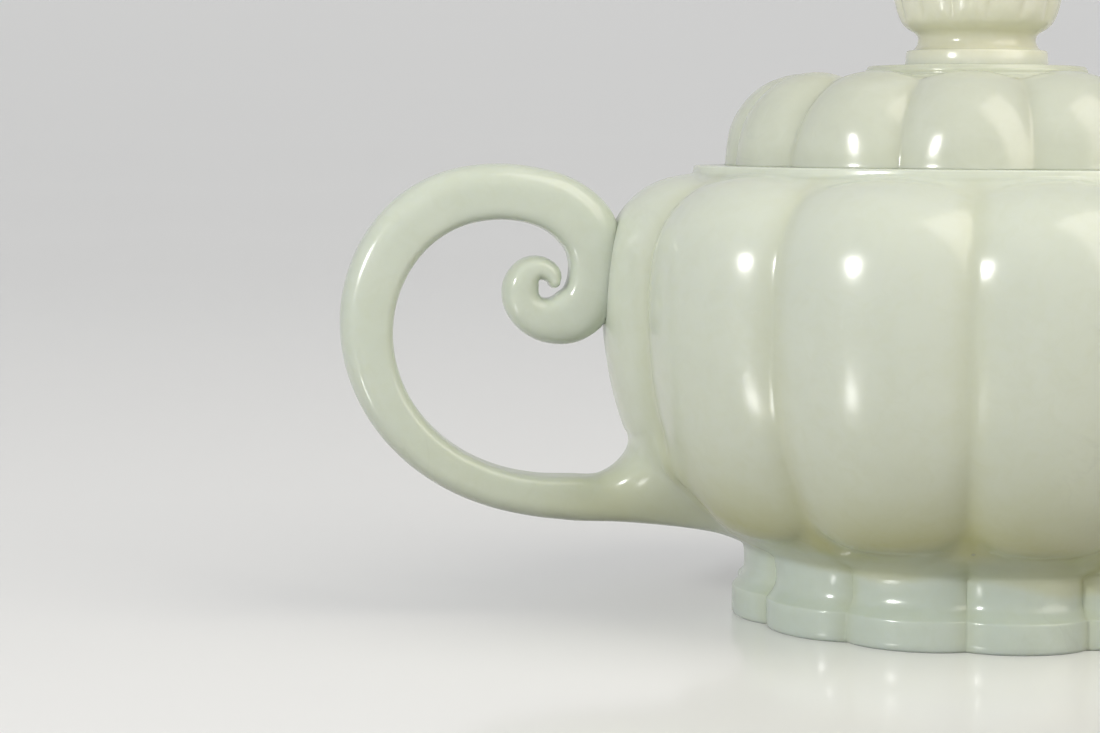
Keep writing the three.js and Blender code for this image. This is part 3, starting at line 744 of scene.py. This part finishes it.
# Adds a node, sets its values and links its inputs
def addNode(tree, kind, values=None, links=None, **settings):
    node = tree.nodes.new(kind)
    for key, value in settings.items():
        setattr(node, key, value)
    for key, value in (values or {}).items():
        node.inputs[key].default_value = value
    for key, source in (links or {}).items():
        tree.links.new(source, node.inputs[key])
    return node


# A mix of two colours by a socket; each colour is a value or comes from a socket
def mixColours(tree, factor, first, second):
    mix = addNode(tree, "ShaderNodeMix", data_type="RGBA", clamp_factor=True)
    for socket, source in ((mix.inputs["Factor"], factor), (mix.inputs[6], first), (mix.inputs[7], second)):
        if isinstance(source, tuple):
            socket.default_value = source
        else:
            tree.links.new(source, socket)
    return mix.outputs[2]


# One step of arithmetic on values or sockets
def mathNode(tree, operation, first, second=0.0):
    node = addNode(tree, "ShaderNodeMath", operation=operation)
    for socket, source in zip(node.inputs, (first, second)):
        if isinstance(source, (float, int)):
            socket.default_value = source
        else:
            tree.links.new(source, socket)
    return node.outputs[0]


def times(tree, first, second):
    return mathNode(tree, "MULTIPLY", first, second)


def plus(tree, first, second):
    return mathNode(tree, "ADD", first, second)


# A value mapped from one range to another, eased at both ends
def easedRange(tree, value, low, high, fromZero=0.0, toOne=1.0):
    limits = {"From Min": low, "From Max": high, "To Min": fromZero, "To Max": toOne}
    return addNode(tree, "ShaderNodeMapRange", limits, {"Value": value},
                   interpolation_type="SMOOTHSTEP").outputs["Result"]


# A noise at a position, its scale a value or a socket
def addNoise(tree, position, scale, detail, roughness=0.5, distortion=0.0):
    node = addNode(tree, "ShaderNodeTexNoise", {"Detail": detail, "Roughness": roughness,
                                                "Distortion": distortion}, {"Vector": position})
    if isinstance(scale, float):
        node.inputs["Scale"].default_value = scale
    else:
        tree.links.new(scale, node.inputs["Scale"])
    return node.outputs["Fac"]


# The stone itself: milky clouds bent by a slow drift, faint grey veins where a folded noise
# nears its middle, rare dark specks, and a hand polish that is never quite even
def makeStoneGroup():
    tree = bpy.data.node_groups.new("jadeStone", "ShaderNodeTree")
    for name, kind in (("Position", "Vector"), ("Ground", "Color"), ("Cloud", "Color"), ("Deep And Shade", "Color"),
                       ("Depth", "Float"), ("Cloud Scale", "Float"), ("Cloud Amount", "Float"),
                       ("Vein Amount", "Float"), ("Speck Amount", "Float")):
        tree.interface.new_socket(name, in_out="INPUT", socket_type="NodeSocket" + kind)
    for name, kind in (("Color", "Color"), ("Roughness", "Float"), ("Height", "Float")):
        tree.interface.new_socket(name, in_out="OUTPUT", socket_type="NodeSocket" + kind)
    given = addNode(tree, "NodeGroupInput").outputs
    position = given["Position"]
    drift = addNoise(tree, position, grain["driftScale"], 2.0, distortion=0.6)
    broad = addNoise(tree, position, given["Cloud Scale"], 3.0, distortion=1.2)
    fineScale = times(tree, given["Cloud Scale"], grain["fineness"])
    fine = addNoise(tree, position, fineScale, 5.0, 0.62, 0.8)
    patches = times(tree, easedRange(tree, broad, *grain["cloudRange"]),
                    easedRange(tree, fine, *grain["fineRange"]))
    clouds = times(tree, patches, given["Cloud Amount"])
    cloudy = mixColours(tree, clouds, given["Ground"], given["Cloud"])
    # The depth given carries painted shade as well as the stone's tone; it shifts a little with the drift and
    # with the thin spots in the cloud
    wander = times(tree, mathNode(tree, "SUBTRACT", drift, 0.5), grain["driftAmount"])
    thin = times(tree, easedRange(tree, fine, *grain["thinRange"]), grain["thinDepth"])
    depth = plus(tree, plus(tree, given["Depth"], thin),
                 times(tree, wander, plus(tree, given["Depth"], grain["driftLeast"])))
    tinted = mixColours(tree, depth, cloudy, given["Deep And Shade"])
    # Veins
    fold = addNoise(tree, position, grain["veinScale"], 4.0, 0.55, 2.2)
    crease = mathNode(tree, "ABSOLUTE", mathNode(tree, "SUBTRACT", fold, 0.5))
    vein = times(tree, easedRange(tree, crease, grain["veinWidth"], 0.0),
                 easedRange(tree, drift, *grain["veinRange"]))
    vein = times(tree, vein, given["Vein Amount"])
    veined = mixColours(tree, vein, tinted, grain["veinColour"])
    # Specks: small cells, one in fourteen holding a dark grain
    cells = addNode(tree, "ShaderNodeTexVoronoi", {"Scale": grain["speckScale"]},
                    {"Vector": position}).outputs
    lot = addNode(tree, "ShaderNodeSeparateColor", links={"Color": cells["Color"]}).outputs[0]
    speck = times(tree, easedRange(tree, cells["Distance"], *grain["speckSize"]),
                  mathNode(tree, "GREATER_THAN", lot, grain["speckFrom"]))
    speck = times(tree, speck, given["Speck Amount"])
    colour = mixColours(tree, speck, veined, grain["speckColour"])
    # Polish, and the height of hand work and pits
    polish = addNoise(tree, position, grain["polishScale"], 4.0, 0.6)
    rough = plus(tree, easedRange(tree, polish, *grain["polishRange"], *grain["roughness"]),
                 times(tree, speck, grain["speckRoughness"]))
    hand = addNoise(tree, position, grain["handScale"], 1.0)
    pits = addNoise(tree, position, grain["pitScale"], 2.0)
    height = plus(tree, hand, times(tree, pits, grain["pitShare"]))
    results = addNode(tree, "NodeGroupOutput").inputs
    for name, source in (("Color", colour), ("Roughness", rough), ("Height", height)):
        tree.links.new(source, results[name])
    return tree


# A jade for one piece: its zones by height, painted shade on the undersides with the stone's olive tone,
# swayed a little, which fade on handle and spout; painted shade in the grooves and a little on handle
# and spout; all over a ground that turns cool low down and on handle and spout
def makeJade(name, values, stone):
    material = bpy.data.materials.new(name)
    material.use_nodes = True
    tree = material.node_tree
    shader = tree.nodes["Principled BSDF"].inputs
    position = addNode(tree, "ShaderNodeTexCoord").outputs["Object"]
    height = addNode(tree, "ShaderNodeSeparateXYZ", links={"Vector": position}).outputs["Z"]
    sway = mathNode(tree, "SUBTRACT", addNoise(tree, position, grain["swayScale"], 2.0), 0.5)
    swayed = plus(tree, height, times(tree, sway, grain["sway"]))
    # The zones by height: painted shade on the undersides, with the stone's olive tone
    low, high = values["toneAndShadeZones"][0][0] * mm, values["toneAndShadeZones"][-1][0] * mm
    share = mathNode(tree, "DIVIDE", mathNode(tree, "SUBTRACT", swayed, low), high - low)
    ramp = addNode(tree, "ShaderNodeValToRGB", links={"Fac": share})
    stops = ramp.color_ramp.elements
    while len(stops) < len(values["toneAndShadeZones"]):
        stops.new(0.5)
    for stop, (at, depth) in zip(stops, values["toneAndShadeZones"]):
        stop.position = (at * mm - low) / (high - low)
        stop.color = (depth, depth, depth, 1)
    zoneShadeAndTone = addNode(tree, "ShaderNodeRGBToBW", links={"Color": ramp.outputs["Color"]}).outputs[0]
    groove, grip = (addNode(tree, "ShaderNodeAttribute", attribute_name=kind).outputs["Fac"]
                    for kind in ("groove", "grip"))
    # Painted shade: the zones' shade, less on handle and spout, and painted shade in the grooves
    own = mathNode(tree, "SUBTRACT", 1.0, times(tree, grip, grain["gripFade"]))
    depth = plus(tree, times(tree, zoneShadeAndTone, own), times(tree, groove, grain["grooveDepth"]))
    # A little painted shade on handle and spout
    depth = plus(tree, depth, times(tree, grip, values["gripShade"]))
    coolFrom, coolTo = ((values["coolBelow"] + side * grain["coolEdge"]) * mm for side in (1, -1))
    cool = mathNode(tree, "MAXIMUM", easedRange(tree, swayed, coolFrom, coolTo),
                    times(tree, grip, values["gripCool"]))
    ground = mixColours(tree, cool, (*values["light"], 1.0), (*values["cool"], 1.0))
    group = addNode(tree, "ShaderNodeGroup", {
        "Cloud": (*values["cloud"], 1.0), "Deep And Shade": (*values["deepAndShade"], 1.0),
        "Cloud Scale": 1000 / values["cloudSize"], "Cloud Amount": values["cloudAmount"],
        "Vein Amount": values["veinAmount"], "Speck Amount": values["speckAmount"],
    }, {"Position": position, "Ground": ground, "Depth": depth}, node_tree=stone).outputs
    bump = addNode(tree, "ShaderNodeBump", {"Strength": grain["bumpStrength"],
                                            "Distance": grain["bumpDepth"]}, {"Height": group["Height"]})
    for key, source in (("Base Color", group["Color"]), ("Roughness", group["Roughness"]),
                        ("Normal", bump.outputs["Normal"])):
        tree.links.new(source, shader[key])
    for key, value in (("IOR", grain["refractiveIndex"]), ("Subsurface Weight", grain["scatter"]),
                       ("Subsurface Radius", grain["scatterRadius"]),
                       ("Subsurface Scale", grain["scatterDepth"])):
        shader[key].default_value = value
    return material


potSkin = makePotSkin()
addHandle(potSkin)
addSpout(potSkin)
stone = makeStoneGroup()
materials = {name: makeJade(name, values, stone) for name, values in jade.items()}
pieces = [
    makePiece("teapot_pot", potSkin, materials["potJade"], "pot",
              ["body_shell", "foot_ring", "mouth_collar", "scroll_handle", "spout"]),
    makePiece("teapot_lid", makeLidSkin(), materials["lidJade"], "lid",
              ["lid_dome", "lid_tenon", "finial_disc"]),
    makePiece("lid_finial", makeFinialSkin(), materials["finialJade"], "lid",
              ["finial_plinth", "finial_bud"]),
]

# The floor runs up into a backdrop behind the pot. Metres, but the camera's place in millimetres.
studio = {
    "paper": (0.88, 0.88, 0.87), "glow": (0.15, 0.15, 0.15),  # the paper as it is seen
    "bounce": (0.25, 0.25, 0.245),  # the paper as it lights the pot
    "paperRoughness": 0.6, "glossIndex": 1.3, "glossRoughness": 0.12,  # the gloss is a thin coat on it
    "front": -3.0, "sweepFrom": 0.5, "sweepLength": 2.6, "top": 3.2, "sweepPower": 3.5, "halfWidth": 4.0,
    "sweepRows": 40, "columns": 9,
    "horizon": (0.88, 0.89, 0.91), "zenith": (0.64, 0.65, 0.67),
    "horizonTo": 0.1, "zenithFrom": 0.9, "worldStrength": 0.635,
    "cameraPlace": (-106.01, -389.15, 70.63), "pitch": 4.907, "yaw": 6.327, "roll": 0.351,
    "focalPixels": 2691.3, "frameWidth": 1100,  # pixels
    "target": (0, 0, 0.045),  # where the lamps point
    "key": {"from": (-145, 17), "away": 1.15, "size": (0.088, 0.078), "power": 4.7,
            "colour": (1, 0.99, 0.97)},
    # The key's mirror image in the polished floor, which a small lamp stands in for
    "mirror": {"from": (-145, -23), "away": 1.15, "size": (0.13, 0.11), "power": 0.85,
               "colour": (1, 0.99, 0.97)},
    "fill": {"from": (-42, 40), "away": 1.3, "size": (1.0, 1.6), "power": 11.3,
             "colour": (1, 0.94, 0.83)},
}


# Backdrop: a profile that is flat floor first and then rises as a power of the distance, so
# that no line shows where it starts, carried along X
def makeBackdrop():
    t = np.linspace(0, 1, studio["sweepRows"])
    run = np.concatenate([[studio["front"], 0.0], studio["sweepFrom"] + studio["sweepLength"] * t])
    rise = np.concatenate([[0.0, 0.0], studio["top"] * t ** studio["sweepPower"]])
    side = np.linspace(-studio["halfWidth"], studio["halfWidth"], studio["columns"])
    points = np.stack(np.broadcast_arrays(side, run[:, None], rise[:, None]), -1)
    row, column = np.mgrid[0:len(run) - 1, 0:len(side) - 1]
    first = row * len(side) + column
    faces = np.stack([first, first + 1, first + 1 + len(side), first + len(side)], -1).reshape(-1, 4)
    mesh = bpy.data.meshes.new("backdrop")
    mesh.from_pydata(points.reshape(-1, 3).tolist(), [], faces.tolist())
    mesh.shade_smooth()
    material = bpy.data.materials.new("backdropPaper")
    material.use_nodes = True
    tree = material.node_tree
    shader = tree.nodes["Principled BSDF"].inputs
    ray = addNode(tree, "ShaderNodeLightPath").outputs
    seen = mathNode(tree, "MAXIMUM", mathNode(tree, "MAXIMUM", ray["Is Camera Ray"], ray["Is Glossy Ray"]),
                    ray["Is Transmission Ray"])
    for key, unseen, shown in (("Base Color", (*studio["bounce"], 1.0), (*studio["paper"], 1.0)),
                               ("Emission Color", (0.0, 0.0, 0.0, 1.0), (*studio["glow"], 1.0))):
        tree.links.new(mixColours(tree, seen, unseen, shown), shader[key])
    for key, value in (("Emission Strength", 1.0), ("Roughness", studio["paperRoughness"]),
                       ("Coat Weight", 1.0), ("Coat Roughness", studio["glossRoughness"]),
                       ("Coat IOR", studio["glossIndex"])):
        shader[key].default_value = value
    mesh.materials.append(material)
    backdrop = addObject("backdrop", mesh)


# The camera by its place and its pitch, yaw and roll in degrees
def makeCamera():
    pitch, yaw, roll = (math.radians(studio[k]) for k in ("pitch", "yaw", "roll"))
    forward = np.array([math.sin(yaw) * math.cos(pitch), math.cos(yaw) * math.cos(pitch),
                        -math.sin(pitch)])
    right = np.array([math.cos(yaw), -math.sin(yaw), 0])
    up = np.cross(right, forward)
    right, up = (right * math.cos(roll) + up * math.sin(roll),
                 up * math.cos(roll) - right * math.sin(roll))
    data = bpy.data.cameras.new("camera")
    data.sensor_width = 36
    data.lens = studio["focalPixels"] / studio["frameWidth"] * data.sensor_width
    camera = addObject("camera", data)
    turn = Matrix((right, up, -forward)).transposed().to_4x4()
    camera.matrix_world = Matrix.Translation([v * mm for v in studio["cameraPlace"]]) @ turn
    bpy.context.scene.camera = camera


# An area light by the direction it shines from: turn round Z and rise, in degrees
def makeLight(name, values):
    turn, rise = (math.radians(v) for v in values["from"])
    target = Vector(studio["target"])
    place = target + values["away"] * Vector((math.cos(turn) * math.cos(rise),
                                              math.sin(turn) * math.cos(rise), math.sin(rise)))
    data = bpy.data.lights.new(name, "AREA")
    data.shape = "RECTANGLE"
    data.size, data.size_y = values["size"]
    data.energy = values["power"]
    data.color = values["colour"]
    light = addObject(name, data)
    light.location = place
    light.rotation_euler = (target - place).to_track_quat("-Z", "Y").to_euler()
    return light


# A plain pale sky, a little darker upwards
def makeWorld():
    world = bpy.data.worlds.new("studio")
    world.use_nodes = True
    sky = world.node_tree
    direction = addNode(sky, "ShaderNodeTexCoord").outputs["Generated"]
    upwards = addNode(sky, "ShaderNodeSeparateXYZ", links={"Vector": direction}).outputs["Z"]
    colour = mixColours(sky, easedRange(sky, upwards, studio["horizonTo"], studio["zenithFrom"]),
                        (*studio["horizon"], 1.0), (*studio["zenith"], 1.0))
    background = sky.nodes["Background"].inputs
    sky.links.new(colour, background["Color"])
    background["Strength"].default_value = studio["worldStrength"]
    bpy.context.scene.world = world


makeBackdrop()
makeCamera()
makeLight("keyLight", studio["key"])
makeLight("fillLight", studio["fill"])
# Only the teapot itself stands in the mirror image's way, not the floor
throughFloor = bpy.data.collections.new("throughFloor")
for piece in pieces:
    throughFloor.objects.link(piece)
makeLight("mirrorLight", studio["mirror"]).light_linking.blocker_collection = throughFloor
makeWorld()
bpy.context.scene.view_settings.view_transform = "Standard"
print("studio made")
